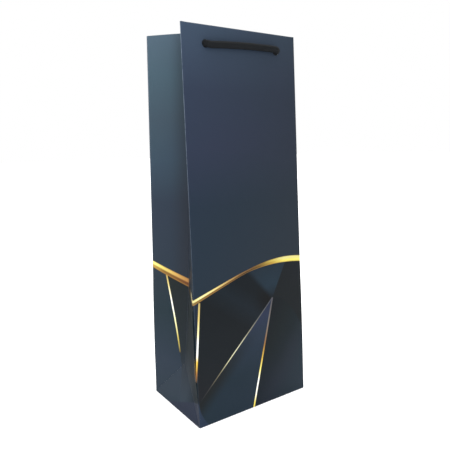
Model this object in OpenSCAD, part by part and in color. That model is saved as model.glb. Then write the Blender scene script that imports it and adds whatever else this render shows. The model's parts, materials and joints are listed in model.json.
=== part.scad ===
// Wine gift bag: one folded paper sheet with gusset sides, a turned-in rim with two
// reinforcement cards, a loose base board and two knotted cord handles.
// Millimetres, +Z up, +X to the right along the front panel, front panel towards -Y.
// The origin is the centre of the flat base, on the surface that the bag stands on.

/* [Bag body] */
// Width of the front and back panels
bag_w = 127; // [110:1:180]
// Depth of the base, front to back
bag_d = 89; // [80:1:110]
// Height of the standing bag
bag_h = 356; // [320:1:400]
// How far each panel's top edge leans in over its bottom edge
rim_inset = 12; // [4:0.5:16]
// Thickness of the laminated paper
paper_t = 0.3; // [0.2:0.05:0.4]

/* [Rim] */
// Depth of the paper turned in around the rim
hem_h = 40; // [30:1:50]
// Width of each reinforcement card
card_w = 118; // [112:1:120]
// Height of each reinforcement card
card_h = 37; // [28:1:38]
// Thickness of each reinforcement card
card_t = 0.8; // [0.5:0.1:1.2]

/* [Base] */
// Length of the front and back base flaps
flap_len = 60; // [50:1:70]
// Thickness of the loose base board
board_t = 1.5; // [1:0.1:2.5]
// Play between the base board and the panels, on each side
board_play = 2.5; // [1.5:0.5:4]
// Width of the glued side seam
seam_w = 15; // [10:1:20]

/* [Handles] */
// Diameter of the handle cord
cord_d = 6; // [4:0.5:6]
// Distance between the two cord holes of a panel
hole_gap = 78; // [60:1:90]
// Distance from the rim down to the hole centres
hole_drop = 16; // [14:0.5:20]
// Diameter of the cord holes
hole_d = 7; // [7:0.2:9]
// Length of hanging cord from a hole's level down to its knot
tail_len = 104; // [80:1:130]
// Diameter of a knot
knot_d = 12.6; // [10:0.2:12.6]
// Loose cord end below a knot
knot_end = 9; // [5:0.5:15]

/* [Hidden] */

// The panels lean in about their base creases.
lean = asin(rim_inset / bag_h);
slope_h = bag_h / cos(lean);
hole_s = slope_h - hole_drop;
// Smallest gap between two pieces that lie against each other.
gap = 0.03;
// A leaning panel starts this far up its slope, so that its inner edge stays above the base.
foot = 2 * paper_t * tan(lean);
hole_fn = 48;

// Depth of the panel pair's half at height z, and how far a gusset's centre crease
// then stands in, because a half gusset is always half the base depth wide.
function half_d(z) = bag_d / 2 - z * tan(lean);
function crease_in(z) = sqrt(pow(bag_d / 2, 2) - pow(half_d(z), 2));

// The base triangle's apex is half the base depth up the gusset's centre line.
apex_h = 0.968 * bag_d / 2;
apex_in = crease_in(apex_h);
triangle_lean = atan(apex_in / apex_h);

// Layers inside a panel, from its outer face inwards.
card_y = paper_t + gap;
hem_y = card_y + card_t + gap;
hem_w = card_w + 2;
wall_t = hem_y + paper_t;

// Layers of the base, from the ground up, inside the panels and the gussets.
flap_x = bag_w / 2 - 2 * paper_t - 0.1;
flap_y = bag_d / 2 - paper_t - 0.1;
back_flap_z = paper_t + gap;
tuck_z = 2 * back_flap_z;
board_z = 3 * back_flap_z;

// Handle cord route on the right side of a panel, from its middle to the knot:
// [across, in from the outer face, up the slope from the hole's level].
cord_out = 3.6;
cord_in = 8.2;
hole_x = hole_gap / 2;
right_route = [
    [12, -cord_out, 1.3], [24, -cord_out, 0.9], [hole_x - 7, -cord_out, 0.4],
    [hole_x - 2.9, -cord_out + 0.7, 0], [hole_x - 0.4, -1.1, 0], [hole_x, 1.8, 0],
    [hole_x, 5.4, -0.8], [hole_x, 7.7, -3.4], [hole_x, cord_in, -8],
    [hole_x, cord_in, -30], [hole_x, cord_in, -66], [hole_x, cord_in, -tail_len]
];
cord_route = concat(
    [for (i = [len(right_route) - 1:-1:0]) mirror_x(right_route[i])],
    [[0, -cord_out, 1.4]],
    right_route
);
cord_sides = 10;
route_steps = 3;

function mirror_x(p) = [-p[0], p[1], p[2]];

// Smooth curve through the route's points.
function route_point(p, i, t) =
    let (
        a = p[max(i - 1, 0)], b = p[i], c = p[i + 1], d = p[min(i + 2, len(p) - 1)]
    )
    0.5 * (2 * b + (c - a) * t + (2 * a - 5 * b + 4 * c - d) * t * t
        + (3 * b - a - 3 * c + d) * t * t * t);
function route_curve(p, n) = concat(
    [for (i = [0:len(p) - 2], k = [0:n - 1]) route_point(p, i, k / n)],
    [p[len(p) - 1]]
);
function unit(v) = v / norm(v);
function across(v, t) = unit(v - (v * t) * t);

// Side vectors carried along a curve, so that the tube doesn't twist.
function tangents(c) = [
    for (i = [0:len(c) - 1]) unit(c[min(i + 1, len(c) - 1)] - c[max(i - 1, 0)])
];
function sides(t, i, v) =
    i == len(t) ? [] : let (n = across(v, t[i])) concat([n], sides(t, i + 1, n));

// ---- shared shapes ----

// Puts panel geometry on the front: x across, y in from the outer face, z up the slope.
module on_front() {
    translate([0, -bag_d / 2, 0])
        rotate([-lean, 0, 0])
            children();
}

module on_back() {
    mirror([0, 1, 0])
        on_front()
            children();
}

module on_right() {
    mirror([1, 0, 0])
        children();
}

module cord_holes() {
    for (side = [-1, 1])
        translate([side * hole_x, -1, hole_s])
            rotate([-90, 0, 0])
                cylinder(d = hole_d, h = wall_t + 2, $fn = hole_fn);
}

module panel() {
    difference() {
        translate([-bag_w / 2, 0, foot])
            cube([bag_w, paper_t, slope_h - foot]);
        cord_holes();
    }
}

module card() {
    difference() {
        translate([-card_w / 2, card_y, slope_h - paper_t - gap - card_h])
            cube([card_w, card_t, card_h]);
        cord_holes();
    }
}

// Paper folded over the rim and down behind the card.
module hem() {
    difference() {
        union() {
            translate([-hem_w / 2, hem_y, slope_h - hem_h])
                cube([hem_w, paper_t, hem_h]);
            translate([-hem_w / 2, paper_t + gap, slope_h - paper_t])
                cube([hem_w, hem_y - paper_t - gap, paper_t]);
        }
        cord_holes();
    }
}

// Outline of a left front half gusset at height z, as [outer edge, outer crease, shift],
// where shift is how far the inner face lies from the outer one along x.
function gusset_row(z) =
    let (
        edge_y = -half_d(z) + paper_t + gap,
        rise = min(z / apex_h, 1),
        in_x = z < apex_h ? apex_in * rise : crease_in(z),
        in_y = z < apex_h ? -bag_d / 2 * (1 - rise) - 0.2 : -gap
    )
    [[-bag_w / 2, edge_y, z], [-bag_w / 2 + in_x, in_y, z],
        paper_t * bag_d / 2 / half_d(z)];

// Heights of the rows that a gusset's bent paper is built from. The last three span the hem.
gusset_heights = [
    4, 16, 30, apex_h, 60, 80, 110, 150, 200, 260,
    bag_h - hem_h, bag_h - hem_h / 2, bag_h - 0.1
];

// A bent strip of gusset paper through the given heights, a number of layers in.
module gusset_strip(heights, layer) {
    rows = [for (z = heights) gusset_row(z)];
    points = [
        for (r = rows, q = [[0, layer], [1, layer], [1, layer + 1], [0, layer + 1]])
            r[q[0]] + [r[2] * q[1] + gap * layer, 0, 0]
    ];
    last = 4 * (len(rows) - 1);
    // Both faces of the paper are split along the same diagonal.
    splits = [
        [[0, 2, 1], [0, 3, 2]], [[0, 2, 1], [0, 3, 2]],
        [[1, 0, 3], [1, 3, 2]], [[0, 2, 1], [0, 3, 2]]
    ];
    walls = [
        for (i = [0:len(rows) - 2], k = [0:3])
            let (
                next = (k + 1) % 4,
                quad = [4 * i + k, 4 * i + next, 4 * i + 4 + next, 4 * i + 4 + k]
            )
            for (split = splits[k]) [for (corner = split) quad[corner]]
    ];
    ends = [[0, 1, 2], [0, 2, 3], [last, last + 2, last + 1], [last, last + 3, last + 2]];
    polyhedron(points = points, faces = concat(walls, ends), convexity = 4);
}

module half_gusset() {
    gusset_strip(gusset_heights, 0);
}

module half_gusset_hem() {
    gusset_strip([for (i = [10:12]) gusset_heights[i]], 1);
}

module base_triangle() {
    half = bag_d / 2 - paper_t - 0.1;
    translate([-bag_w / 2, 0, paper_t])
        rotate([0, triangle_lean, 0])
            rotate([90, 0, 90])
                linear_extrude(paper_t)
                    polygon([[-half, 0], [half, 0], [0, half - 0.4]]);
}

// Base flap glued under the base, nearly as wide as its panel.
module base_flap(z) {
    translate([-flap_x, -flap_y, z])
        cube([2 * flap_x, flap_len - paper_t, paper_t]);
}

// Mitred end of the base under the board: a triangle from the gusset's base crease.
module base_tuck() {
    reach = bag_d / 2 - paper_t - 1;
    translate([-bag_w / 2 + 2 * paper_t, 0, tuck_z])
        linear_extrude(paper_t)
            polygon([[0, -reach], [reach, 0], [0, reach]]);
}

module cord_tube() {
    curve = route_curve(cord_route, route_steps);
    t = tangents(curve);
    u = sides(t, 0, [1, 0, 0]);
    n = cord_sides;
    rings = len(curve);
    points = [
        for (i = [0:rings - 1], k = [0:n - 1])
            let (v = cross(t[i], u[i]), a = 360 * k / n)
            curve[i] + cord_d / 2 * (cos(a) * u[i] + sin(a) * v)
    ];
    first = [for (k = [n - 1:-1:0]) k];
    end = [for (k = [0:n - 1]) (rings - 1) * n + k];
    walls = [
        for (i = [0:rings - 2], k = [0:n - 1])
            [i * n + k, i * n + (k + 1) % n, (i + 1) * n + (k + 1) % n, (i + 1) * n + k]
    ];
    flipped = [for (f = concat([first, end], walls)) [for (k = [len(f) - 1:-1:0]) f[k]]];
    translate([0, 0, hole_s])
        polyhedron(points = points, faces = flipped, convexity = 6);
}

// A stopper knot and the loose end below it, hanging from each tail.
module knot_pair() {
    for (side = [-1, 1])
        translate([side * hole_x, cord_in, hole_s - tail_len - gap - knot_d / 2]) {
            sphere(d = knot_d, $fn = hole_fn);
            translate([0, 0, -knot_d / 2 - knot_end])
                cylinder(d = cord_d, h = knot_end + knot_d / 2, $fn = hole_fn);
        }
}

// ---- sub-parts ----

module front_panel() {
    color([0.23, 0.28, 0.35])
        on_front()
            panel();
}

module back_panel() {
    color([0.23, 0.28, 0.35])
        on_back()
            panel();
}

module left_gusset_front_half() {
    color([0.2, 0.24, 0.28])
        half_gusset();
}

module left_gusset_back_half() {
    color([0.32, 0.37, 0.42])
        mirror([0, 1, 0])
            half_gusset();
}

module right_gusset_front_half() {
    color([0.2, 0.24, 0.28])
        on_right()
            half_gusset();
}

module right_gusset_back_half() {
    color([0.32, 0.37, 0.42])
        on_right()
            mirror([0, 1, 0])
                half_gusset();
}

module left_gusset_base_triangle() {
    color([0.15, 0.19, 0.23])
        base_triangle();
}

module right_gusset_base_triangle() {
    color([0.15, 0.19, 0.23])
        on_right()
            base_triangle();
}

module front_hem() {
    color([0.23, 0.28, 0.35])
        on_front()
            hem();
}

module back_hem() {
    color([0.23, 0.28, 0.35])
        on_back()
            hem();
}

module left_hem_front_half() {
    color([0.2, 0.24, 0.28])
        half_gusset_hem();
}

module left_hem_back_half() {
    color([0.32, 0.37, 0.42])
        mirror([0, 1, 0])
            half_gusset_hem();
}

module right_hem_front_half() {
    color([0.2, 0.24, 0.28])
        on_right()
            half_gusset_hem();
}

module right_hem_back_half() {
    color([0.32, 0.37, 0.42])
        on_right()
            mirror([0, 1, 0])
                half_gusset_hem();
}

module side_seam_flap() {
    color([0.9, 0.89, 0.86])
        on_back()
            translate([bag_w / 2 - 1.2 - seam_w, paper_t + gap, 4])
                cube([seam_w, paper_t, slope_h - hem_h - 6]);
}

module front_base_flap() {
    color([0.12, 0.14, 0.17])
        base_flap(0);
}

module back_base_flap() {
    color([0.12, 0.14, 0.17])
        mirror([0, 1, 0])
            base_flap(back_flap_z);
}

module left_base_tuck() {
    color([0.12, 0.14, 0.17])
        base_tuck();
}

module right_base_tuck() {
    color([0.12, 0.14, 0.17])
        on_right()
            base_tuck();
}

module base_board() {
    color([0.62, 0.59, 0.54])
        translate([-bag_w / 2 + board_play, -bag_d / 2 + board_play, board_z])
            cube([bag_w - 2 * board_play, bag_d - 2 * board_play, board_t]);
}

module front_card() {
    color([0.75, 0.72, 0.66])
        on_front()
            card();
}

module back_card() {
    color([0.75, 0.72, 0.66])
        on_back()
            card();
}

module front_cord() {
    color([0.08, 0.09, 0.09])
        on_front()
            cord_tube();
}

module back_cord() {
    color([0.08, 0.09, 0.09])
        on_back()
            cord_tube();
}

module front_knots() {
    color([0.08, 0.09, 0.09])
        on_front()
            knot_pair();
}

module back_knots() {
    color([0.08, 0.09, 0.09])
        on_back()
            knot_pair();
}

front_panel();
back_panel();
left_gusset_front_half();
left_gusset_back_half();
right_gusset_front_half();
right_gusset_back_half();
left_gusset_base_triangle();
right_gusset_base_triangle();
front_hem();
back_hem();
left_hem_front_half();
left_hem_back_half();
right_hem_front_half();
right_hem_back_half();
side_seam_flap();
front_base_flap();
back_base_flap();
left_base_tuck();
right_base_tuck();
base_board();
front_card();
back_card();
front_cord();
back_cord();
front_knots();
back_knots();
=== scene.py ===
"""Wine gift bag: printed paper skin with rounded folds, gold lines, knotted cord handles.

Lengths are in metres. The paper's own coordinates, which the print is laid out in, are
millimetres: u runs along the sheet around the bag, with 0 at a panel's left fold and the
gusset before it below 0, and s runs up from the base crease.
"""

import json
import math

import bmesh
import bpy
import numpy as np
from mathutils import Matrix, Vector


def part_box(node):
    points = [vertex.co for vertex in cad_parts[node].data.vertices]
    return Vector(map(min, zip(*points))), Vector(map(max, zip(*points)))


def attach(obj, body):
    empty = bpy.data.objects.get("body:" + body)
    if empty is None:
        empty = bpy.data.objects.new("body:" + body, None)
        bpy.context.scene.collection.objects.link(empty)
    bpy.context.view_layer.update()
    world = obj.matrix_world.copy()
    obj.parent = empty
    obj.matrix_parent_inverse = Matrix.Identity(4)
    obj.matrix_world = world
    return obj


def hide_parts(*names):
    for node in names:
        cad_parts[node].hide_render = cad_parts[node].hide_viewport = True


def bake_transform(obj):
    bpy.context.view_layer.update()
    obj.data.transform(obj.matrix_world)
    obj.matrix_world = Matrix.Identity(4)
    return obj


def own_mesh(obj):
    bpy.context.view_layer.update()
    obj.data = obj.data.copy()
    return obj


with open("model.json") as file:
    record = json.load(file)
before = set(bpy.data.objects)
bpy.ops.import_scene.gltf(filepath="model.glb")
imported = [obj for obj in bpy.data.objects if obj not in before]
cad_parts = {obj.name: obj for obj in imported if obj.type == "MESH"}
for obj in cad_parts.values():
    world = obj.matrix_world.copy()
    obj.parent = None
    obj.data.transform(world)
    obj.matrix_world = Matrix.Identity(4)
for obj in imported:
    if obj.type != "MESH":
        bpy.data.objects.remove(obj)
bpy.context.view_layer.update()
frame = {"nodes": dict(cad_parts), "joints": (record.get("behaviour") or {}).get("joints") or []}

MM = 0.001

# ---------------------------------------------------------------- sizes from the frame

panel_low, panel_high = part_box("front_panel")
JOINT_AXIS = {joint["name"]: Vector(joint["axis"]) for joint in frame["joints"]}
LEAN = math.asin(JOINT_AXIS["front_handle_pull"].y)
BAG_W = panel_high.x - panel_low.x
BAG_D = -2 * panel_low.y
BAG_H = panel_high.z
SLOPE_H = BAG_H / math.cos(LEAN)

PAPER = 0.3 * MM
WALL = 1.46 * MM              # panel, card and hem together
HEM_H = 40 * MM
FOLD_R = 0.55 * MM            # outer radius of the vertical folds
APEX_H = 0.968 * BAG_D / 2    # top of a gusset's base triangle
FLAP_LEN = 60 * MM

CORD_R = 3 * MM
HOLE_R = 3.5 * MM
HOLE_X = 39 * MM
HOLE_S = SLOPE_H - 16 * MM
CORD_OUT = 3.6 * MM           # cord centre in front of the panel's outer face
CORD_IN = 8.2 * MM            # hanging cord's centre behind it
TAIL_LEN = 104 * MM
TAIL_START = 8 * MM           # how far below its hole a tail starts
BAND_X = 35.4 * MM            # half length of the stretch that lifts off the panel


def half_depth(z):
    """Half the bag's depth at height z."""
    return BAG_D / 2 - z * math.tan(LEAN)


def crease_in(z):
    """How far a gusset's centre crease stands in: half a gusset keeps its width."""
    return math.sqrt((BAG_D / 2) ** 2 - half_depth(z) ** 2)


def on_panel(side, across, into, up):
    """A point on the front (side -1) or back (side 1) panel: across is world x, into runs
    from the outer face into the bag, up runs up the leaning panel."""
    y = BAG_D / 2 - into * math.cos(LEAN) - up * math.sin(LEAN)
    return Vector((across, side * y, up * math.cos(LEAN) - into * math.sin(LEAN)))


def side_word(side):
    return "front" if side < 0 else "back"


def hand_word(hand):
    return "left" if hand < 0 else "right"


def smooth_step(t):
    """0 up to t = 0 and 1 from t = 1, with a soft change between."""
    t = min(max(t, 0.0), 1.0)
    return t * t * (3 - 2 * t)


# ---------------------------------------------------------------- shader helpers


def linear(rgb):
    """A display colour with channels from 0 to 255, as linear RGBA."""
    def channel(c):
        c /= 255
        return c / 12.92 if c <= 0.04045 else ((c + 0.055) / 1.055) ** 2.4
    return (*[channel(c) for c in rgb], 1.0)


class Value:
    """A number in a node tree, which arithmetic turns into Math nodes."""

    def __init__(self, tree, socket):
        self.tree, self.socket = tree, socket

    def math(self, operation, *others):
        node = self.tree.nodes.new("ShaderNodeMath")
        node.operation = operation
        for slot, item in zip(node.inputs, (self, *others)):
            plug(self.tree, slot, item)
        return Value(self.tree, node.outputs[0])

    def __add__(self, other):
        return self.math("ADD", other)

    def __sub__(self, other):
        return self.math("SUBTRACT", other)

    def __rsub__(self, other):
        return (self * -1) + other

    def __mul__(self, other):
        return self.math("MULTIPLY", other)

    def __truediv__(self, other):
        return self.math("DIVIDE", other)

    def __abs__(self):
        return self.math("ABSOLUTE")

    def positive(self):
        """The value where it is above 0, and 0 elsewhere."""
        return self.math("MAXIMUM", 0.0)

    def step(self, width=0.3):
        """0 below zero and 1 above it, with a soft change this wide."""
        node = self.tree.nodes.new("ShaderNodeMapRange")
        node.interpolation_type = "SMOOTHSTEP"
        plug(self.tree, node.inputs["Value"], self)
        node.inputs["From Min"].default_value = -width / 2
        node.inputs["From Max"].default_value = width / 2
        return Value(self.tree, node.outputs[0])

    def ramp(self, low, high, stops):
        """Colours or greys at places from low to high, as (place, colour)."""
        node = self.tree.nodes.new("ShaderNodeValToRGB")
        elements = node.color_ramp.elements
        while len(elements) > 1:
            elements.remove(elements[-1])
        for i, (place, colour) in enumerate(stops):
            at = (place - low) / (high - low)
            element = elements[0] if i == 0 else elements.new(at)
            element.position = at
            grey = isinstance(colour, (int, float))
            element.color = (colour, colour, colour, 1) if grey else linear(colour)
        plug(self.tree, node.inputs[0], (self - low) / (high - low))
        return Value(self.tree, node.outputs[0])


def plug(tree, slot, item):
    """Links a Value to an input, or sets the input to a plain number or colour."""
    if isinstance(item, Value):
        tree.links.new(item.socket, slot)
    else:
        slot.default_value = item


def mix(tree, share, a, b):
    """Colour a, turning to b as share goes from 0 to 1."""
    node = tree.nodes.new("ShaderNodeMix")
    node.data_type = "RGBA"
    plug(tree, node.inputs["Factor"], share)
    for slot, item in ((node.inputs[6], a), (node.inputs[7], b)):
        plug(tree, slot, item if isinstance(item, Value) else linear(item))
    return Value(tree, node.outputs[2])


def noise(tree, scale, detail, roughness, stretch=None):
    """A noise value of about 0 to 1 with features 1 / scale apart."""
    node = tree.nodes.new("ShaderNodeTexNoise")
    node.inputs["Scale"].default_value = scale
    node.inputs["Detail"].default_value = detail
    node.inputs["Roughness"].default_value = roughness
    source = tree.nodes.new("ShaderNodeTexCoord").outputs["Object"]
    if stretch:
        mapping = tree.nodes.new("ShaderNodeMapping")
        mapping.inputs["Scale"].default_value = stretch
        tree.links.new(source, mapping.inputs["Vector"])
        source = mapping.outputs[0]
    tree.links.new(source, node.inputs["Vector"])
    return Value(tree, node.outputs[0])


def coordinates(tree, kind):
    """The first two coordinates of a kind, such as UV or Object."""
    split = tree.nodes.new("ShaderNodeSeparateXYZ")
    tree.links.new(tree.nodes.new("ShaderNodeTexCoord").outputs[kind], split.inputs[0])
    return [Value(tree, split.outputs[i]) for i in (0, 1)]


def bump(tree, height, strength, distance, normal=None):
    """A normal that follows a height, on top of another normal if one is given."""
    node = tree.nodes.new("ShaderNodeBump")
    node.inputs["Strength"].default_value = strength
    node.inputs["Distance"].default_value = distance
    plug(tree, node.inputs["Height"], height)
    if normal:
        tree.links.new(normal.socket, node.inputs["Normal"])
    return Value(tree, node.outputs[0])


def new_material(name, **settings):
    """A Principled material. Settings are its inputs by name, with _ for a space."""
    material = bpy.data.materials.new(name)
    material.use_nodes = True
    shader = material.node_tree.nodes["Principled BSDF"]
    for key, item in settings.items():
        shader.inputs[key.replace("_", " ")].default_value = item
    return material, material.node_tree, shader


# ---------------------------------------------------------------- the print

PANEL_U = BAG_W / MM          # a panel's width along the sheet
GUSSET_U = -BAG_D / MM        # where the gusset before a panel begins
CREASE_U = GUSSET_U / 2

# Points and ends of thin lines, each a (u, s)
APEX = (88.4, 104.3)          # where two thin lines meet on a panel
DIAGONAL_END = (0.7, 23.4)
STEEP_END = (61.3, -0.1)
LEFT_LINE = ((5.7, 115.0), (-1.4, 43.7))
GUSSET_LINE = ((-71.7, 131.0), (-51.9, 52.1))
SIDE_CORNER = (69.5, 124.9)   # the navy field above the apex ends on a line to here
PATCH_H = 24.6                # height of the pale patch at a panel's lower left corner

# The thin gold lines: ends, half width and colours at shares of the way along
GOLD_LINES = (
    (LEFT_LINE, 0.9, [
        (0, (166, 148, 92)), (0.2, (204, 182, 108)), (0.4, (232, 224, 172)),
        (0.5, (250, 250, 248)), (0.66, (250, 248, 240)), (0.74, (226, 190, 70)),
        (0.88, (150, 104, 52)), (1, (70, 58, 48)),
    ]),
    ((APEX, DIAGONAL_END), 0.52, [
        (0, (58, 62, 72)), (0.22, (92, 92, 90)), (0.36, (140, 136, 116)),
        (0.5, (200, 198, 166)), (0.62, (190, 188, 152)), (0.72, (112, 106, 86)),
        (0.86, (52, 52, 52)), (1, (20, 26, 32)),
    ]),
    ((APEX, STEEP_END), 0.85, [
        (0, (70, 70, 76)), (0.25, (104, 98, 92)), (0.42, (128, 92, 54)),
        (0.55, (196, 160, 66)), (0.66, (240, 226, 120)), (0.76, (250, 250, 246)),
        (0.88, (250, 248, 226)), (0.95, (238, 218, 100)), (1, (226, 206, 96)),
    ]),
    (GUSSET_LINE, 0.85, [
        (0, (150, 118, 60)), (0.16, (206, 190, 120)), (0.4, (250, 250, 240)),
        (0.6, (236, 234, 180)), (0.82, (188, 172, 88)), (1, (88, 76, 48)),
    ]),
)

# The gold band around the bag: half width in cm, and colours of its upper and lower face,
# each at places along u
BAND_HALF_WIDTH = [
    (GUSSET_U, 0.335), (CREASE_U, 0.395), (-30, 0.3), (0, 0.235), (20, 0.2),
    (45, 0.15), (60, 0.12), (85, 0.22), (105, 0.28), (PANEL_U, 0.3),
]
# From u = -40 to -15, on the gusset half beside the fold, both lists are nearly black: painted
# shade.
BAND_BRIGHT = [
    (GUSSET_U, (226, 220, 130)), (-76, (206, 188, 100)), (-60, (188, 150, 84)),
    (-46, (158, 114, 66)), (-40, (40, 36, 32)), (-15, (44, 42, 38)),
    (-9, (226, 218, 170)), (-2, (206, 196, 130)), (8, (228, 218, 152)),
    (24, (206, 186, 118)), (38, (166, 134, 80)), (50, (116, 86, 52)),
    (66, (94, 68, 42)), (78, (118, 94, 46)), (90, (176, 156, 74)),
    (104, (198, 192, 124)), (PANEL_U, (200, 192, 118)),
]
BAND_BROWN = [
    (GUSSET_U, (170, 140, 66)), (-74, (120, 90, 48)), (-58, (108, 74, 42)),
    (-46, (92, 58, 40)), (-38, (24, 22, 20)), (-15, (30, 28, 26)),
    (-9, (140, 120, 84)), (0, (122, 98, 52)), (14, (112, 84, 44)),
    (36, (92, 64, 34)), (56, (56, 42, 30)), (74, (88, 66, 32)),
    (90, (160, 132, 56)), (104, (208, 194, 92)), (PANEL_U, (212, 204, 100)),
]


def beside(u, s, start, end):
    """Distance from the line through start and end: above 0 to its left."""
    length = math.dist(start, end)
    across, up = (end[0] - start[0]) / length, (end[1] - start[1]) / length
    return (s - start[1]) * across - (u - start[0]) * up


def along(u, s, start, end):
    """Share of the way from start to end."""
    squared = math.dist(start, end) ** 2
    across, up = (end[0] - start[0]) / squared, (end[1] - start[1]) / squared
    return (u - start[0]) * across + (s - start[1]) * up


def wave_height(u):
    """Height of the gold band's centre line: falling over the gusset, with a small hump
    before the fold, then rising over the panel to a crest."""
    fall = (u - GUSSET_U) * -0.326 + 136.9
    return (
        fall + (u - CREASE_U).positive() * 0.186 + u.positive() * 0.47
        + (-7.5 - u).step(9) * (u + 30).step(20) * 2.6
        - (u - 45).positive() * (u - 45).positive() * 0.0030
    )


def thin_line(tree, colour, mask, u, s, ends, half_width, shades):
    """Adds a thin gold line to the colour and to the mask of what is gold."""
    t = along(u, s, *ends)
    across = abs(beside(u, s, *ends))
    within = (half_width - across).step(0.35) * t.step(0.01) * (1 - t).step(0.01)
    shade = t.ramp(0, 1, shades)
    return mix(tree, within, colour, shade), mask.math("MAXIMUM", within)


def facets(tree, u, s):
    """Colour of the print under the gold band: flat facets with soft gradients, and on the
    gusset painted shade near the fold and a painted paler wedge at its foot.
    """
    left = (u - LEFT_LINE[0][0] - (s - LEFT_LINE[0][1]) * 0.1).step(0.5)
    from_diagonal = beside(u, s, DIAGONAL_END, APEX) * -1
    under_diagonal = from_diagonal.step(0.5)
    right = (u - APEX[0] - (s - APEX[1]) * 0.2596 - (s - APEX[1]).positive() * 0.282).step(0.5)
    above_apex = (beside(u, s, APEX, SIDE_CORNER) * -1).step(7.0)
    reach = ((u - APEX[0]) * (u - APEX[0]) + (s - APEX[1]) * (s - APEX[1])).math("SQRT")

    charcoal = (u * 0.6 + s * 0.8).ramp(20, 150, [
        (20, (20, 23, 28)), (60, (12, 19, 24)), (98, (8, 15, 20)), (115, (12, 22, 30)),
        (130, (6, 14, 20)),
    ])
    charcoal = mix(tree, (15 - reach).step(22), charcoal, (3, 5, 7))
    strip = s.ramp(0, 120, [(0, (24, 30, 38)), (60, (22, 26, 36)), (120, (24, 36, 50))])
    triangle = s.ramp(0, 110, [
        (0, (24, 39, 50)), (35, (20, 35, 46)), (72, (29, 41, 56)), (90, (34, 42, 62)),
        (105, (26, 32, 50)),
    ])
    shadow = (9 - from_diagonal).step(16) * (60 - s).step(50)
    triangle = mix(tree, shadow, triangle, (18, 23, 25))
    dark = (u * 1.3 - s).ramp(20, 150, [
        (20, (5, 12, 18)), (50, (8, 18, 22)), (78, (10, 22, 28)), (100, (20, 30, 38)),
        (124, (22, 35, 43)), (150, (26, 38, 47)),
    ])
    bend = (u - APEX[0]) * (u - APEX[0]) * 0.0252
    corner = (s - APEX[1] + bend).step(4.0)
    dark = mix(tree, corner, dark, (11, 17, 21))
    navy = reach.ramp(0, 40, [(0, (12, 22, 30)), (14, (22, 38, 50)), (40, (20, 32, 42))])

    colour = mix(tree, left, strip, charcoal)
    colour = mix(tree, above_apex * (s - APEX[1]).step(2), colour, navy)
    colour = mix(tree, under_diagonal, colour, triangle)
    colour = mix(tree, right, colour, dark)
    # A pale patch fills the lower left corner, under a curved edge.
    patch_edge = (1 - s / PATCH_H).positive()
    patch = (patch_edge * patch_edge * 10 - u + 0.4).step(1.5) * (PATCH_H - s).step(2)
    colour = mix(tree, patch, colour, (33, 46, 64))

    # The gusset before the panel.
    over_line = beside(u, s, *GUSSET_LINE)
    pale = s.ramp(0, 140, [
        (0, (40, 51, 61)), (40, (40, 50, 62)), (90, (34, 46, 53)), (140, (40, 49, 58)),
    ])
    deep = s.ramp(0, 140, [
        (0, (46, 58, 69)), (35, (38, 45, 53)), (60, (34, 40, 44)), (140, (31, 36, 36)),
    ])
    side = mix(tree, (over_line * -1).step(0.6), deep, pale)
    # Painted shade on the gusset near the panel's fold.
    side = mix(tree, (u + 20).step(30), side, (8, 20, 26))
    # Painted light: a paler wedge at the gusset's foot.
    wedge = ((u + 61.3) * 0.375 - s).step(1.0)
    side = mix(tree, wedge, side, (40, 46, 60))
    return mix(tree, u.step(0.4), side, colour)


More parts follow.
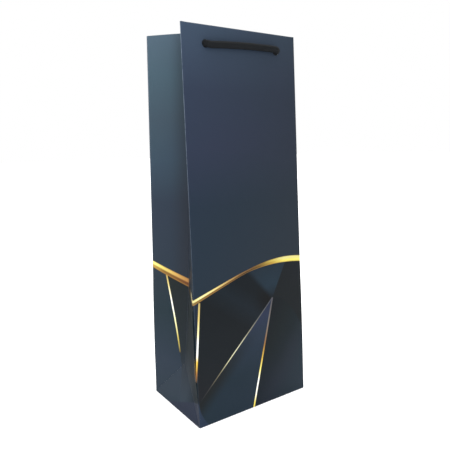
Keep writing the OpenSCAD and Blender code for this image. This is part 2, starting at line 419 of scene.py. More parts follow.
def printed_material():
    """The bag's laminated print: slate blue above the gold band, dark facets below it, with
    painted sheen and shade laid over them.
    """
    material, tree, shader = new_material(
        "printed_paper", Coat_Weight=0.02, Coat_Roughness=0.25, Coat_IOR=1.45,
    )
    u, s = (place * (1 / MM) for place in coordinates(tree, "UV"))
    broad = noise(tree, 9, 2, 0.5)
    fine = noise(tree, 900, 4, 0.65)

    # Above the band: slate blue print. Paler towards the rim is painted sheen.
    panel_top = s.ramp(100, 360, [
        (100, (24, 37, 49)), (200, (26, 39, 52)), (250, (37, 45, 62)), (300, (40, 49, 66)),
        (360, (53, 67, 84)),
    ])
    # Painted sheen: the gusset side is paler than the panel, more so towards the rim.
    side_top = s.ramp(100, 360, [
        (100, (40, 49, 59)), (200, (43, 52, 64)), (240, (51, 66, 78)), (280, (56, 70, 81)),
        (320, (62, 80, 91)), (360, (70, 86, 99)),
    ])
    # Painted shade beside the gusset's centre crease.
    crease_shade = (12 - abs(u - CREASE_U)).step(22)
    side_top = mix(tree, crease_shade * 0.6, side_top, (42, 44, 50))
    # Painted shade over the gusset half beside the panel's fold, strongest low down.
    front_half_shade = (u - CREASE_U).step(4) * s.ramp(100, 360, [
        (100, 0.95), (148, 0.95), (170, 0.75), (200, 0.5), (240, 0.05), (360, 0.0),
    ])
    side_top = mix(tree, front_half_shade, side_top, (20, 30, 40))
    # Painted sheen: the panel turns darker towards its right.
    panel_top = mix(tree, u * (0.65 / PANEL_U), panel_top, (30, 36, 42))
    top = mix(tree, u.step(0.4), side_top, panel_top)

    centre = wave_height(u)
    below = (centre - s).step(0.3)
    colour = mix(tree, below, top, facets(tree, u, s))

    # Slow colour drift of the ink.
    drift = (broad - 0.5) * 0.5
    colour = mix(tree, drift.positive(), colour, (44, 40, 68))

    gold = s * 0
    for ends, half_width, shades in GOLD_LINES:
        colour, gold = thin_line(tree, colour, gold, u, s, ends, half_width, shades)

    half = u.ramp(GUSSET_U, PANEL_U, BAND_HALF_WIDTH) * 10
    height = (s - centre) / half
    band = (1 - abs(height)).step(0.16)
    bright = u.ramp(GUSSET_U, PANEL_U, BAND_BRIGHT)
    brown = u.ramp(GUSSET_U, PANEL_U, BAND_BROWN)
    edge = mix(tree, 0.5, brown, (150, 112, 56))
    profile = mix(tree, (height - 0.02).step(0.5), brown, bright)
    profile = mix(tree, (-0.72 - height).step(0.3), profile, edge)
    profile = mix(tree, (height - 0.82).step(0.3) * 0.5, profile, (128, 96, 44))
    colour = mix(tree, band, colour, profile)
    gold = gold.math("MAXIMUM", band)

    # White paper fibres show through where folds have rubbed. Along the folds the line is also a
    # painted highlight, stronger towards the rim.
    wear_and_highlight_noise = noise(tree, 260, 5, 0.7)
    fold = abs(u).math("MINIMUM", abs(u - PANEL_U)).math("MINIMUM", abs(u - GUSSET_U))
    fold = fold.math("MINIMUM", abs(u - CREASE_U) + 0.15)
    fold_wear_and_highlight = (0.42 - fold).step(0.7) * (wear_and_highlight_noise - 0.42).step(0.3)
    fold_wear_and_highlight *= s.ramp(0, 360, [(0, 0.04), (130, 0.16), (330, 0.6)])
    colour = mix(tree, fold_wear_and_highlight, colour, (120, 132, 148))
    ends = abs(s).math("MINIMUM", abs(s - SLOPE_H / MM))
    rub_ends = (0.5 - ends).step(0.8) * (wear_and_highlight_noise - 0.4).step(0.3)
    colour = mix(tree, rub_ends * 0.25, colour, (150, 156, 166))

    tree.links.new(colour.socket, shader.inputs["Base Color"])
    rough = (fine - 0.5) * 0.12 + (broad - 0.5) * 0.1 + 0.43
    plug(tree, shader.inputs["Roughness"], rough - gold * 0.12)
    plug(tree, shader.inputs["Metallic"], gold * 0.35)
    plug(tree, shader.inputs["Specular IOR Level"], u.step(0.4) * 0.06 + 0.03)
    lumps = bump(tree, noise(tree, 60, 3, 0.5), 0.22, 0.0006)
    plug(tree, shader.inputs["Normal"], bump(tree, fine + gold * 1.5, 0.12, 0.00005, lumps))
    return material


def fibre_material(name, colour, fleck, roughness, scale=500, relief=0.25):
    """Uncoated paper or board: soft fibres, a few flecks."""
    material, tree, shader = new_material(name, Specular_IOR_Level=0.25)
    fibres = noise(tree, scale, 6, 0.7, stretch=(1, 1, 0.35))
    broad = noise(tree, 22, 3, 0.5)
    flecks = noise(tree, scale * 1.7, 2, 0.5)
    shade = mix(tree, (fibres - 0.5).step(0.6) * 0.35, colour, fleck)
    shade = mix(tree, (flecks - 0.68).step(0.06) * 0.5, shade, fleck)
    shade = mix(tree, (broad - 0.5).step(0.6) * 0.12, shade, fleck)
    tree.links.new(shade.socket, shader.inputs["Base Color"])
    plug(tree, shader.inputs["Roughness"], (fibres - 0.5) * 0.15 + roughness)
    plug(tree, shader.inputs["Normal"], bump(tree, fibres, relief, 0.0001))
    return material


def cord_material():
    """Dull black braided cord: the braid's relief is in the mesh, its fibres are here."""
    material, tree, shader = new_material(
        "cord", Specular_IOR_Level=0.1, Sheen_Weight=0.03, Sheen_Roughness=0.4,
    )
    shader.inputs["Sheen Tint"].default_value = linear((120, 124, 128))
    fibres = noise(tree, 2600, 4, 0.7)
    clumps = noise(tree, 380, 3, 0.6)
    shade = mix(tree, (fibres - 0.5).step(0.5), (10, 11, 13), (27, 29, 32))
    shade = mix(tree, (clumps - 0.5).step(0.6) * 0.5, shade, (20, 22, 24))
    tree.links.new(shade.socket, shader.inputs["Base Color"])
    plug(tree, shader.inputs["Roughness"], (fibres - 0.5) * 0.2 + 0.78)
    plug(tree, shader.inputs["Normal"], bump(tree, fibres, 0.5, 0.00012))
    return material


PRINT = printed_material()
BARE = fibre_material("bare_paper", (238, 236, 230), (214, 208, 196), 0.8)
CORE = fibre_material("paper_core", (226, 224, 218), (190, 184, 172), 0.85, 900)
BOARD = fibre_material("greyboard", (168, 160, 148), (112, 104, 94), 0.9, 340, 0.5)
CORD = cord_material()


# ---------------------------------------------------------------- mesh helpers


def add_object(name, data):
    """A new object in the scene."""
    added = bpy.data.objects.new(name, data)
    bpy.context.scene.collection.objects.link(added)
    return added


def finish_mesh(name, mesh, materials, body, sharp=40):
    """Makes a piece of a mesh. Edges sharper than sharp degrees stay crisp."""
    # A piece that stands for the CAD node of its own name needs a name apart.
    label = f"{name}_detail" if name in frame["nodes"] else name
    piece = add_object(label, mesh)
    for material in materials:
        mesh.materials.append(material)
    mesh.shade_smooth()
    mesh.set_sharp_from_angle(angle=math.radians(sharp))
    if body:
        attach(piece, body)
    return piece


def sheet(name, outer, offset, uv, body, slot="printed_paper", edge=CORE):
    """A closed skin of paper: outer is a grid of points, offset the step to its other face.
    uv is the sheet coordinate of each point, in metres, and edge the material of its rim."""
    rows, columns = outer.shape[:2]
    count = rows * columns
    points = np.concatenate([outer.reshape(-1, 3), (outer + offset).reshape(-1, 3)])
    index = np.arange(count).reshape(rows, columns)
    a, b = index[:-1, :-1].ravel(), index[:-1, 1:].ravel()
    c, d = index[1:, 1:].ravel(), index[1:, :-1].ravel()
    front = np.stack([a, b, c, d], 1)
    rim = np.concatenate([index[0, :-1], index[:-1, -1], index[-1, :0:-1], index[:0:-1, 0]])
    after = np.roll(rim, -1)
    middle = outer[rows // 2, columns // 2]
    normal = np.cross(
        outer[rows // 2, columns // 2 - 1] - middle, outer[rows // 2 - 1, columns // 2] - middle
    )
    if normal @ offset[rows // 2, columns // 2] > 0:
        front = front[:, ::-1]
        rim, after = after, rim
    back = front[:, ::-1] + count
    border = np.stack([after, rim, rim + count, after + count], 1)
    faces = np.concatenate([front, back, border])
    mesh = bpy.data.meshes.new(name)
    mesh.from_pydata(points.tolist(), [], faces.tolist())
    layer = mesh.uv_layers.new(name="sheet")
    corners = np.empty(len(mesh.loops), np.int32)
    mesh.loops.foreach_get("vertex_index", corners)
    layer.data.foreach_set("uv", uv.reshape(-1, 2)[corners % count].astype(np.float32).ravel())
    slots = np.repeat([0, 1, 2], [len(front), len(back), len(border)])
    mesh.polygons.foreach_set("material_index", slots.astype(np.int32))
    return finish_mesh(name, mesh, [PRINT, BARE, edge], body)


def grid(rows, columns, function):
    """Three arrays from function(i, j), which gives a point, an offset and a (u, s)."""
    cells = [[function(i, j) for j in range(columns)] for i in range(rows)]
    return [np.array([[list(cell[k]) for cell in row] for row in cells]) for k in range(3)]


def punch(piece, side):
    """Cuts the two cord holes through a panel or hem."""
    for across in (-HOLE_X, HOLE_X):
        cutter = bpy.data.meshes.new("cutter")
        shape = bmesh.new()
        bmesh.ops.create_cone(
            shape, cap_ends=True, segments=40, radius1=HOLE_R, radius2=HOLE_R, depth=8 * MM
        )
        shape.to_mesh(cutter)
        shape.free()
        tool = add_object("cutter", cutter)
        for material in piece.data.materials:
            cutter.materials.append(material)
        cutter.polygons.foreach_set("material_index", [2] * len(cutter.polygons))
        tool.location = on_panel(side, across, WALL / 2, HOLE_S)
        tool.rotation_euler = (math.pi / 2 + side * LEAN, 0, 0)
        modifier = piece.modifiers.new("hole", "BOOLEAN")
        modifier.operation = "DIFFERENCE"
        modifier.solver = "EXACT"
        modifier.object = tool
        bpy.context.view_layer.update()
        graph = bpy.context.evaluated_depsgraph_get()
        piece.data = bpy.data.meshes.new_from_object(piece.evaluated_get(graph))
        piece.modifiers.clear()
        bpy.data.objects.remove(tool)
    piece.data.set_sharp_from_angle(angle=math.radians(40))


# ---------------------------------------------------------------- panels and hems

ARC_STEPS = 6
RIM_R = WALL / 2
THIN_RIM_R = 0.2 * MM


def corner(z):
    """The vertical fold at height z: its turn, and how far it starts from the corner."""
    turn = math.acos(-crease_in(max(z, APEX_H)) / (BAG_D / 2))
    return turn, FOLD_R * math.tan(turn / 2)


def fold_bow(hand, side, z):
    """How far a vertical fold bows out sideways. The paper was folded by hand, and the front
    left fold stands out most, beside its base triangle."""
    most = 2.0 * MM if hand < 0 and side < 0 else 0.5 * MM
    return most * smooth_step((z - 8 * MM) / (50 * MM)) * smooth_step((138 * MM - z) / (42 * MM))


def rim_radius(x, z):
    """Half the rim's thickness: the card ends before the folds, so the rim thins there."""
    inset = BAG_W / 2 - corner(z)[1] - abs(x)
    return THIN_RIM_R + (RIM_R - THIN_RIM_R) * smooth_step(inset / (5 * MM))


def bow(x, s):
    """Slight outward swell of a panel, none along its folds, its rim and its base."""
    across = math.sin(math.pi * (x / BAG_W + 0.5))
    up = smooth_step(s / (90 * MM)) * smooth_step((SLOPE_H - HEM_H - s) / (70 * MM))
    ripple = math.sin(s / (61 * MM) + 2.1 * x / BAG_W) * math.sin(2 * math.pi * x / BAG_W + 0.6)
    return across * up * (0.45 + 0.16 * ripple) * MM


def panel_columns():
    """Shares across a panel, closer together near its ends."""
    near = [0, 0.5, 1.1, 1.8, 2.6, 3.6, 5]
    middle = np.linspace(7.5, BAG_W / MM - 7.5, 38)
    far = [BAG_W / MM - n for n in near[::-1]]
    return [n / (BAG_W / MM) for n in [*near, *middle, *far]]


def make_panel(side):
    """Front (side -1) or back (side 1) panel with its two rounded folds."""
    body = side_word(side)
    name = f"{body}_panel"
    shares = panel_columns()
    count = len(shares) + 2 * ARC_STEPS
    heights = [*np.linspace(0, 12, 9), *np.linspace(17, SLOPE_H / MM - 8, 84)]
    heights = [h * MM for h in heights] + [SLOPE_H - d * MM for d in (5, 3, 1.6, 0.8, 0)]
    heights[0] = FOLD_R

    def cell(i, j):
        s = heights[i]
        turn, run = corner(min(s, BAG_H))
        flat = BAG_W / 2 - run
        if ARC_STEPS <= j < count - ARC_STEPS:
            x = flat * (2 * shares[j - ARC_STEPS] - 1)
            into, lean_x = -bow(x, s), 0.0
            x += math.copysign(1, x) * fold_bow(math.copysign(1, x), side, s) * (x / flat) ** 4
            facing = 1.0
        else:
            left = j < ARC_STEPS
            step = ARC_STEPS - j if left else j - (count - ARC_STEPS) + 1
            angle = turn * step / ARC_STEPS
            sign = -1 if left else 1
            x = sign * (flat + FOLD_R * math.sin(angle) + fold_bow(sign, side, s))
            into = FOLD_R * (1 - math.cos(angle))
            lean_x, facing = -sign * math.sin(angle), math.cos(angle)
        top = SLOPE_H - rim_radius(x, BAG_H)
        s = min(s, top) if i == len(heights) - 1 else s
        point = on_panel(side, x, into, s)
        step_in = on_panel(side, x + lean_x * PAPER, into + facing * PAPER, s) - point
        if ARC_STEPS <= j < count - ARC_STEPS:
            u = x + BAG_W / 2
        else:
            past = run * (1 - 2 * step / ARC_STEPS) - fold_bow(sign, side, s)
            u = past if left else BAG_W - past
        u = u if side < 0 else BAG_W - u
        return point, step_in, (u, s)

    piece = sheet(name, *grid(len(heights), count, cell), body)
    punch(piece, side)
    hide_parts(name)


def make_hem(side):
    """The paper rolled over the rim and down behind the card."""
    body = side_word(side)
    name = f"{body}_hem"
    shares = panel_columns()
    roll = 8
    downs = [3, 8, 14, 20, 26, 32, 37, 39]
    run = corner(BAG_H)[1]

    def cell(i, j):
        x = (BAG_W / 2 - run) * (2 * shares[j] - 1)
        radius = rim_radius(x, BAG_H)
        angle = math.pi * min(i, roll) / roll
        s = SLOPE_H - radius + radius * math.sin(angle)
        s -= downs[i - roll - 1] * MM if i > roll else 0
        into = radius * (1 - math.cos(angle))
        thick = min(PAPER, 0.85 * radius)
        point = on_panel(side, x, into, s)
        inner = on_panel(side, x, into + thick * math.cos(angle), s - thick * math.sin(angle))
        u = x + BAG_W / 2 if side < 0 else BAG_W / 2 - x
        return point, inner - point, (u, SLOPE_H + i * MM)

    piece = sheet(name, *grid(roll + 1 + len(downs), len(shares), cell), body)
    punch(piece, side)
    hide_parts(name)


# ---------------------------------------------------------------- gussets


def gusset_in(share, z):
    """Inward depth and distance from the centre plane of a half gusset's outer face, from
    its crease (share 0) to its fold (share 1), with a slight outward swell."""
    rise = min(z / APEX_H, 1)
    start_in = crease_in(APEX_H) * rise if z < APEX_H else crease_in(z)
    start_y = BAG_D / 2 * (1 - rise) if z < APEX_H else 0
    width = math.hypot(start_in, half_depth(z) - start_y)
    swell = math.sin(math.pi * share) * smooth_step((z - 20 * MM) / (120 * MM))
    share *= 1 - corner(z)[1] / width
    depth = start_in * (1 - share)
    y = start_y + (half_depth(z) - start_y) * share
    return depth - swell * 0.9 * MM, y


def gusset_offset(share, z, hand, side):
    """Step from a half gusset's outer face to its inner one, mitred at the crease."""
    slant = crease_in(max(z, APEX_H)) / (BAG_D / 2)
    level = half_depth(z) / (BAG_D / 2)
    square = Vector((level, slant, 0))
    mitred = Vector((1 / level, 0, 0))
    step = mitred.lerp(square, share)
    return Vector((-hand * step.x, side * step.y, 0)) * PAPER


def make_half_gusset(hand, side):
    """hand is -1 left or 1 right, side is -1 front or 1 back."""
    name = f"{hand_word(hand)}_gusset_{side_word(side)}_half"
    heights = [*np.linspace(0.9, APEX_H / MM, 15), *np.linspace(48, 312, 56)]
    heights = [h * MM for h in heights]
    heights += [BAG_H - d * MM for d in (40, 34, 28, 22, 16, 10, 6, 3, 1, THIN_RIM_R / MM)]
    columns = 22

    def cell(i, j):
        z = heights[i]
        share = j / (columns - 1)
        depth, y = gusset_in(share, z)
        depth -= fold_bow(hand, side, z) * share ** 2
        point = Vector((hand * (BAG_W / 2 - depth), side * y, z))
        return point, gusset_offset(share, z, hand, side), (sheet_u(hand, side, share, z), z)

    piece = sheet(name, *grid(len(heights), columns, cell), None)
    hold_between(piece, side)
    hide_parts(name)


def hold_between(piece, side):
    """Bakes the piece's placement into its mesh."""
    reach = half_depth(BAG_H) - 1.2 * MM
    side * reach
    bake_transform(piece)


def sheet_u(hand, side, share, z):
    """Sheet coordinate of a half gusset's point, from its crease to its fold."""
    start = BAG_D / 2 * (1 - z / APEX_H) if z < APEX_H else 0
    away = start + (BAG_D / 2 - start) * share
    return CREASE_U * MM + (away if hand == side else -away)


def make_gusset_hem(hand, side):
    """Half a gusset's paper rolled over its rim. No card is under it."""
    name = f"{hand_word(hand)}_hem_{side_word(side)}_half"
    roll, columns = 6, 22
    downs = [2, 6, 12, 18, 24, 30, 36, 39]
    rim = 0.36 * MM

    def cell(i, j):
        share = j / (columns - 1)
        radius = THIN_RIM_R + (rim - THIN_RIM_R) * smooth_step((1 - share) / 0.12)
        angle = math.pi * min(i, roll) / roll
        z = BAG_H - THIN_RIM_R if i <= roll else BAG_H - THIN_RIM_R - downs[i - roll - 1] * MM
        depth, y = gusset_in(share, z)
        step = gusset_offset(share, z, hand, side) * (radius / PAPER)
        base = Vector((hand * (BAG_W / 2 - depth), side * y, z))
        height = Vector((0, 0, THIN_RIM_R * math.sin(angle)))
        point = base + step * (1 - math.cos(angle)) + height
        thick = min(1.0, 0.85 * radius / PAPER)
        offset = gusset_offset(share, z, hand, side) * thick * math.cos(angle)
        offset -= Vector((0, 0, 0.85 * THIN_RIM_R * math.sin(angle)))
        return point, offset, (sheet_u(hand, side, share, z), BAG_H + i * MM)

    piece = sheet(name, *grid(roll + 1 + len(downs), columns, cell), None)
    hold_between(piece, side)
    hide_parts(name)


def make_base_triangle(hand):
    """The gusset below the 45 degree creases, leaning in from the base."""
    name = f"{hand_word(hand)}_gusset_base_triangle"
    rows, columns = 26, 31

    def cell(i, j):
        z = 0.2 * MM + (APEX_H - 0.6 * MM) * i / (rows - 1)
        reach = (BAG_D / 2) * (1 - z / APEX_H) - 0.02 * MM
        y = reach * (2 * j / (columns - 1) - 1)
        depth = crease_in(APEX_H) * z / APEX_H
        point = Vector((hand * (BAG_W / 2 - depth), y, z))
        return point, Vector((-hand * PAPER, 0, 0)), (CREASE_U * MM + hand * y, z)

    piece = sheet(name, *grid(rows, columns, cell), "base", edge=PRINT)
    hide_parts(name)


# ---------------------------------------------------------------- base


def make_base_flap(side):
    """Folded in from the panel's foot: a rounded crease, then flat under the base."""
    name = f"{side_word(side)}_base_flap"
    roll, flat, columns = 6, 24, 31
    half = BAG_W / 2 - 0.5 * MM

    def cell(i, j):
        x = half * (2 * j / (columns - 1) - 1)
        if i <= roll:
            angle = math.pi / 2 * i / roll
            reach = FOLD_R * (1 - math.cos(angle))
            z = FOLD_R * (1 - math.sin(angle))
            inward = Vector((0, math.cos(angle), math.sin(angle)))
        else:
            reach = FOLD_R + (FLAP_LEN - FOLD_R) * (i - roll) / flat
            # The back flap climbs onto the front one where they are glued together.
            climb = smooth_step((reach - (BAG_D - FLAP_LEN) + 9 * MM) / (8 * MM))
            z = climb * (PAPER + 0.03 * MM) if side > 0 else 0
            inward = Vector((0, 0, 1))
        point = Vector((x, side * (BAG_D / 2 - reach), z))
        inward.y *= -side
        return point, inward * PAPER, (x + BAG_W / 2, -reach)

    piece = sheet(name, *grid(roll + 1 + flat, columns, cell), "base")
    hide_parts(name)


def make_tuck(hand):
    """Mitred end of the base, folded in from the gusset's foot."""
    name = f"{hand_word(hand)}_base_tuck"
    rows, columns = 13, 21
    low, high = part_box(name)
    reach = high.y

    def cell(i, j):
        inset = (reach - 0.4 * MM) * i / (rows - 1)
        y = (reach - inset) * (2 * j / (columns - 1) - 1)
        x = hand * (BAG_W / 2 - 0.6 * MM - inset)
        return Vector((x, y, low.z)), Vector((0, 0, PAPER)), (CREASE_U * MM + y, -inset)

    piece = sheet(name, *grid(rows, columns, cell), "base")
    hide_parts(name)


def make_seam_flap():
    """Glued end of the sheet, inside the back panel, with a slightly wavy cut edge."""
    rows, columns = 61, 9
    low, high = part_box("side_seam_flap")

    def cell(i, j):
        s = 4 * MM + (SLOPE_H - HEM_H - 6 * MM) * i / (rows - 1)
        share = j / (columns - 1)
        x = high.x + (low.x - high.x) * share
        x += 0.25 * MM * math.sin(s / (23 * MM)) * share
        point = on_panel(1, x, 2 * PAPER + 0.05 * MM, s)
        return point, on_panel(1, x, PAPER + 0.03 * MM, s) - point, (x, s)

    piece = sheet("side_seam_flap", *grid(rows, columns, cell), "back", "bare_paper")
    piece.data.materials[0] = BARE
    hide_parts("side_seam_flap")


def make_board():
    """Loose greyboard with softened cut edges."""
    low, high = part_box("base_board")
    shape = bmesh.new()
    bmesh.ops.create_grid(shape, x_segments=24, y_segments=16, size=0.5)
    for vertex in shape.verts:
        vertex.co = Vector((
            vertex.co.x * (high.x - low.x), vertex.co.y * (high.y - low.y), low.z
        ))
    top = bmesh.ops.extrude_face_region(shape, geom=shape.faces[:])
    for item in top["geom"]:
        if isinstance(item, bmesh.types.BMVert):
            item.co.z = high.z
    bmesh.ops.recalc_face_normals(shape, faces=shape.faces[:])
    rim = [
        edge for edge in shape.edges
        if len(edge.link_faces) == 2 and edge.calc_face_angle() > 1
    ]
    bmesh.ops.bevel(
        shape, geom=rim, offset=0.35 * MM, offset_type="OFFSET", segments=3, profile=0.5,
        affect="EDGES",
    )
    mesh = bpy.data.meshes.new("base_board")
    shape.to_mesh(mesh)
    shape.free()
    piece = finish_mesh("base_board", mesh, [BOARD], "board")
    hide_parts("base_board")


# ---------------------------------------------------------------- handles

BRAID_PITCH = 9 * MM
BRAID_STRANDS = 8
BRAID_DEPTH = 0.22 * MM
TUBE_SIDES = 48
RING_SPACING = 0.55 * MM
HOLE_FILL = 0.62 * MM         # how much the soft cord swells inside its hole
LEG_HALF = 0.8 * MM           # half height of an undrawn leg
LEG_DRAWN = 100 * MM          # about its length once drawn out
LEG_R = 2.75 * MM
KNOT_SIZE = 2.05 * MM
KNOT_REACH = 2.08             # where an overhand knot's loop starts and ends
KNOT_TAIL = 21 * MM           # from a tail's foot to the loose end below its knot


def smooth_path(points, steps):
    """Points along a smooth curve through the given ones."""
    path = []
    for i in range(len(points) - 1):
        a, b = points[max(i - 1, 0)], points[i]
        c, d = points[i + 1], points[min(i + 2, len(points) - 1)]
        for k in range(steps):
            t = k / steps
            path.append(0.5 * (
                2 * b + (c - a) * t + (2 * a - 5 * b + 4 * c - d) * t * t
                + (3 * b - a - 3 * c + d) * t * t * t
            ))
    return path + [points[-1]]


def resample(path, spacing):
    """The same path with evenly spaced points."""
    lengths = np.cumsum([0] + [(b - a).length for a, b in zip(path, path[1:])])
    count = max(2, round(lengths[-1] / spacing))
    wanted = np.linspace(0, lengths[-1], count + 1)
    columns = [np.interp(wanted, lengths, [p[k] for p in path]) for k in range(3)]
    return [Vector(p) for p in zip(*columns)]


def braid(angle, turn):
    """Relief at an angle around the cord: two sets of strands that cross."""
    one = math.cos(BRAID_STRANDS / 2 * (angle + turn))
    two = math.cos(BRAID_STRANDS / 2 * (angle - turn))
    return BRAID_DEPTH * (max(one, two) - 1)


def tube_mesh(name, points, flip=False):
    """A closed tube through rings of TUBE_SIDES points, turned inside out by flip."""
    last = len(points) - TUBE_SIDES
    faces = [list(range(TUBE_SIDES))[::-1]]
    faces.append([last + k for k in range(TUBE_SIDES)])
    for ring in range(0, last, TUBE_SIDES):
        for k in range(TUBE_SIDES):
            a, b = ring + k, ring + (k + 1) % TUBE_SIDES
            faces.append([a, b, b + TUBE_SIDES, a + TUBE_SIDES])
    if flip:
        faces = [face[::-1] for face in faces]
    mesh = bpy.data.meshes.new(name)
    mesh.from_pydata([list(p) for p in points], [], faces)
    return mesh


def hole_swell(depth):
    """Change of radius near a hole: drawn in just before it, and filling it inside."""
    before = smooth_step(1 + depth / (3 * MM)) * smooth_step(1 - depth / (3 * MM))
    inside = smooth_step(0.6 + depth / (0.5 * MM)) * smooth_step(1.6 - depth / (2 * MM))
    return HOLE_FILL * inside - 0.2 * MM * before * (1 - inside)


def braided_tube(name, path, radius, body, caps=(False, False), swell=None):
    """A braided tube along a path. A cap rounds the end off, and swell is a hole that the soft
    cord fills: its centre and the direction into it."""
    path = resample(path, RING_SPACING)
    radii = [radius] * len(path)
    if swell:
        radii = [radius + hole_swell((p - swell[0]).dot(swell[1])) for p in path]
    for end, wanted in ((0, caps[0]), (-1, caps[1])):
        if not wanted:
            continue
        step = path[end] - path[1 if end == 0 else -2]
        step.normalize()
        extra = [(radius * math.sin(a), radius * math.cos(a)) for a in np.linspace(0.2, 1.45, 8)]
        added = [path[end] + step * out for out, _ in extra]
        sizes = [size for _, size in extra]
        if end == 0:
            path, radii = added[::-1] + path, sizes[::-1] + radii
        else:
            path, radii = path + added, radii + sizes
    side = Vector((0, 0, 1))
    points, travelled = [], 0.0
    for i, point in enumerate(path):
        ahead, behind = path[min(i + 1, len(path) - 1)], path[max(i - 1, 0)]
        direction = (ahead - behind).normalized()
        side = side - direction * side.dot(direction)
        if side.length < 0.05:
            side = Vector((0, 1, 0)) - direction * direction.y
        side.normalize()
        other = direction.cross(side)
        if i:
            travelled += (point - path[i - 1]).length
        turn = 2 * math.pi * travelled / BRAID_PITCH
        for k in range(TUBE_SIDES):
            angle = 2 * math.pi * k / TUBE_SIDES
            reach = radii[i] + braid(angle, turn) * min(1, radii[i] / radius)
            points.append(point + (side * math.cos(angle) + other * math.sin(angle)) * reach)
    return finish_mesh(name, tube_mesh(name, points), [CORD], body, sharp=80)


def route(side, hand, points):
    """Route points (across, into, up from the hole's level), in millimetres."""
    return [
        on_panel(side, hand * x * MM, into * MM, HOLE_S + up * MM) for x, into, up in points
    ]


def band_level(side, share):
    """Height above the holes of the cord across a panel: slightly askew, slightly arched."""
    askew = 1.2 * MM if side < 0 else -0.7 * MM
    return askew * share + 0.9 * MM * (1 - share * share) - 0.1 * MM


def make_handle(side):
    """One handle: a band across the panel, and on each side a bend through its hole, a tail
    hanging inside, its knot, and a leg."""
    word = panel = side_word(side)
    body = f"{word}_handle"
    out = CORD_OUT / MM
    band_points = [
        on_panel(side, share * BAND_X, -CORD_OUT, HOLE_S + band_level(side, share))
        for share in (-1, -0.85, -0.6, -0.3, 0, 0.3, 0.6, 0.85, 1)
    ]
    band = braided_tube(
        f"{word}_cord_band", smooth_path(band_points, 8), CORD_R * 1.04, body, caps=(True, True)
    )
    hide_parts(f"{word}_cord")
    [tuple(p) for p in smooth_path(band_points, 4)]
    for hand in (-1, 1):
        label = hand_word(hand)
        level = band_level(side, hand) / MM
        hole = on_panel(side, hand * HOLE_X, 0.2 * MM, HOLE_S)
        # From the band's end over the hole's edge, through it and down behind the card.
        elbow_points = route(side, hand, [
            (BAND_X / MM, -out, level), (37.6, 0.5 - out, 0.7 * level),
            (39.1, -1.5, 0.25 * level), (39.1, 0.3, 0),
            (39, 1.8, 0), (39, 5.4, -0.8), (39, 7.7, -3.4), (39, 8.2, -6), (39, 8.2, -7.8),
        ])
        elbow = braided_tube(
            f"{word}_cord_{label}_elbow", smooth_path(elbow_points, 6), CORD_R * 1.02, panel,
            caps=(True, False), swell=(hole, Vector((0, -side, 0))),
        )
        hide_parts(f"{word}_cord")
        tail_points = [
            on_panel(side, hand * HOLE_X, CORD_IN, HOLE_S - down)
            for down in (TAIL_START, 30 * MM, 66 * MM, TAIL_LEN)
        ]
        knot = make_knot(side, hand, f"{word}_{label}_knot", body)
        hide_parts(f"{word}_knots")
        tail = braided_tube(
            f"{word}_cord_{label}_tail", smooth_path(tail_points, 6), CORD_R * 0.97, body
        )
        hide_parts(f"{word}_cord")
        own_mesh(tail)
        [tuple(p) for p in smooth_path(tail_points, 4)]
        make_leg(side, hand, word, label)


def make_leg(side, hand, word, label):
    """The cord between hole and band, made as a flat disc inside the cord."""
    steps = 90
    centre = HOLE_S + band_level(side, hand)
    points = []
    for i in range(steps + 1):
        # Rings spaced by the inverse of a smooth step.
        w = i / steps
        t = 0.5 - math.sin(math.asin(1 - 2 * w) / 3)
        up = centre + LEG_HALF * (2 * t - 1)
        turn = 2 * math.pi * w * LEG_DRAWN / BRAID_PITCH
        for k in range(TUBE_SIDES):
            angle = 2 * math.pi * k / TUBE_SIDES
            reach = LEG_R + braid(angle, turn)
            across = hand * BAND_X + reach * math.cos(angle)
            points.append(on_panel(side, across, reach * math.sin(angle) - CORD_OUT, up))
    name = f"{word}_cord_{label}_leg"
    leg = finish_mesh(name, tube_mesh(name, points, side > 0), [CORD], None, sharp=80)
    start = on_panel(side, 0, 0, centre - LEG_HALF)
    end = on_panel(side, 0, 0, centre + LEG_HALF)
    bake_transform(leg)
    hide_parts(f"{word}_cord")


def make_knot(side, hand, name, body):
    """An overhand knot drawn tight, with its short loose end below."""
    x = hand * HOLE_X
    foot = HOLE_S - TAIL_LEN
    middle = foot - 6.8 * MM
    loop = []
    for t in np.linspace(-KNOT_REACH, KNOT_REACH, 40):
        across = (t ** 3 - 3 * t) * 0.56 * KNOT_SIZE
        into = ((t ** 4 - 4 * t * t) * 0.36 - 0.3) * KNOT_SIZE
        up = (10 * t - t ** 5) / 9.5 * KNOT_SIZE
        loop.append(on_panel(side, x + across, CORD_IN + into, middle + up))
    top, neck, end = (
        on_panel(side, x, CORD_IN, foot + rise) for rise in (0.2 * MM, -1.4 * MM, -KNOT_TAIL)
    )
    path = smooth_path([top, neck, *loop, end], 3)
    return braided_tube(name, path, CORD_R * 0.9, body)


# ---------------------------------------------------------------- build

for panel_side in (-1, 1):
    make_panel(panel_side)
    make_hem(panel_side)
    make_base_flap(panel_side)
    for gusset_hand in (-1, 1):
        make_half_gusset(gusset_hand, panel_side)
        make_gusset_hem(gusset_hand, panel_side)
for gusset_hand in (-1, 1):
    make_base_triangle(gusset_hand)
    make_tuck(gusset_hand)
make_seam_flap()
make_board()

# ---------------------------------------------------------------- camera

CAMERA_PLACE = (-0.2718, -0.4039, 0.2506)
CAMERA_TURN = math.radians(34.81)     # to the right of straight ahead
CAMERA_DIP = math.radians(7.41)
CAMERA_ROLL = math.radians(1.25)
CAMERA_LENS = 39.31
CAMERA_SHIFT = (-0.0179, -0.0296)

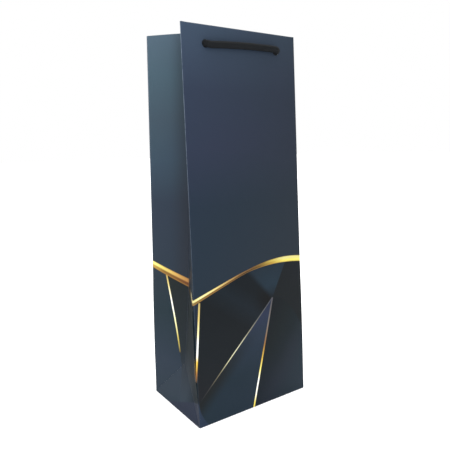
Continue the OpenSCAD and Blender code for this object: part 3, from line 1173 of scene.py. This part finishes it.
camera_data = bpy.data.cameras.new("camera")
camera_data.lens = CAMERA_LENS
camera_data.sensor_width = 36
camera_data.shift_x, camera_data.shift_y = CAMERA_SHIFT
camera = add_object("camera", camera_data)
camera.location = CAMERA_PLACE
forward = Vector((
    math.sin(CAMERA_TURN) * math.cos(CAMERA_DIP),
    math.cos(CAMERA_TURN) * math.cos(CAMERA_DIP),
    -math.sin(CAMERA_DIP),
))
level = Vector((math.cos(CAMERA_TURN), -math.sin(CAMERA_TURN), 0))
upward = level.cross(forward)
across_image = level * math.cos(CAMERA_ROLL) - upward * math.sin(CAMERA_ROLL)
up_image = level * math.sin(CAMERA_ROLL) + upward * math.cos(CAMERA_ROLL)
camera.rotation_euler = Matrix((across_image, up_image, -forward)).transposed().to_euler()
bpy.context.scene.camera = camera

for panel_side in (-1, 1):
    make_handle(panel_side)

# The cards are plain cut board, so they keep their CAD shape.
for card in ("front_card", "back_card"):
    card_object = frame["nodes"][card]
    card_object.data.materials.clear()
    card_object.data.materials.append(BOARD)

# ---------------------------------------------------------------- stage and light

FLOOR_SIZE = 24.0
WORLD_BRIGHT_SIDE = (0.57, 0.82)      # the way the camera looks
WORLD_DIM = 0.72                      # the world's strength on the other side


def make_floor():
    """White studio floor: it glows a little, and more where the lamps no longer reach it."""
    material, tree, shader = new_material("floor", Specular_IOR_Level=0.0, Roughness=1.0)
    shader.inputs["Base Color"].default_value = (0.95, 0.95, 0.95, 1)
    shader.inputs["Emission Color"].default_value = (1, 1, 1, 1)
    x, y = coordinates(tree, "Object")
    away = (x * x + y * y).math("SQRT")
    plug(tree, shader.inputs["Emission Strength"], (away - 1.6).step(2.4) * 0.75 + 0.25)
    mesh = bpy.data.meshes.new("floor")
    half = FLOOR_SIZE / 2
    mesh.from_pydata(
        [(-half, -half, 0), (half, -half, 0), (half, half, 0), (-half, half, 0)],
        [], [(0, 1, 2, 3)],
    )
    mesh.materials.append(material)
    floor = add_object("floor", mesh)


def area_light(name, place, target, size, power):
    """A soft white light of size (width, height), aimed at a target, with power in watts."""
    data = bpy.data.lights.new(name, "AREA")
    data.shape = "RECTANGLE"
    data.size, data.size_y = size
    data.energy = power
    light = add_object(name, data)
    light.location = place
    aim = Vector(target) - Vector(place)
    light.rotation_euler = aim.to_track_quat("-Z", "Y").to_euler()


def make_world():
    """A white studio that is brighter behind the bag than behind the camera."""
    world = bpy.data.worlds.new("studio")
    world.use_nodes = True
    tree = world.node_tree
    x, y = coordinates(tree, "Generated")
    facing = x * WORLD_BRIGHT_SIDE[0] + y * WORLD_BRIGHT_SIDE[1]
    strength = (facing - 0.42).step(0.6) * (1 - WORLD_DIM) + WORLD_DIM
    plug(tree, tree.nodes["Background"].inputs["Strength"], strength)
    tree.nodes["Background"].inputs["Color"].default_value = (1, 1, 1, 1)
    return world


make_floor()
area_light("left_softbox", (-1.7, -0.5, 0.9), (0, 0, 0.2), (1.0, 1.4), 12)
area_light("front_softbox", (-0.4, -1.9, 1.0), (0, 0, 0.2), (1.4, 1.2), 9)
area_light("top_softbox", (0.2, 0.2, 2.4), (0, 0, 0), (2.6, 2.6), 60)
bpy.context.scene.world = make_world()
bpy.context.scene.view_settings.view_transform = "Standard"
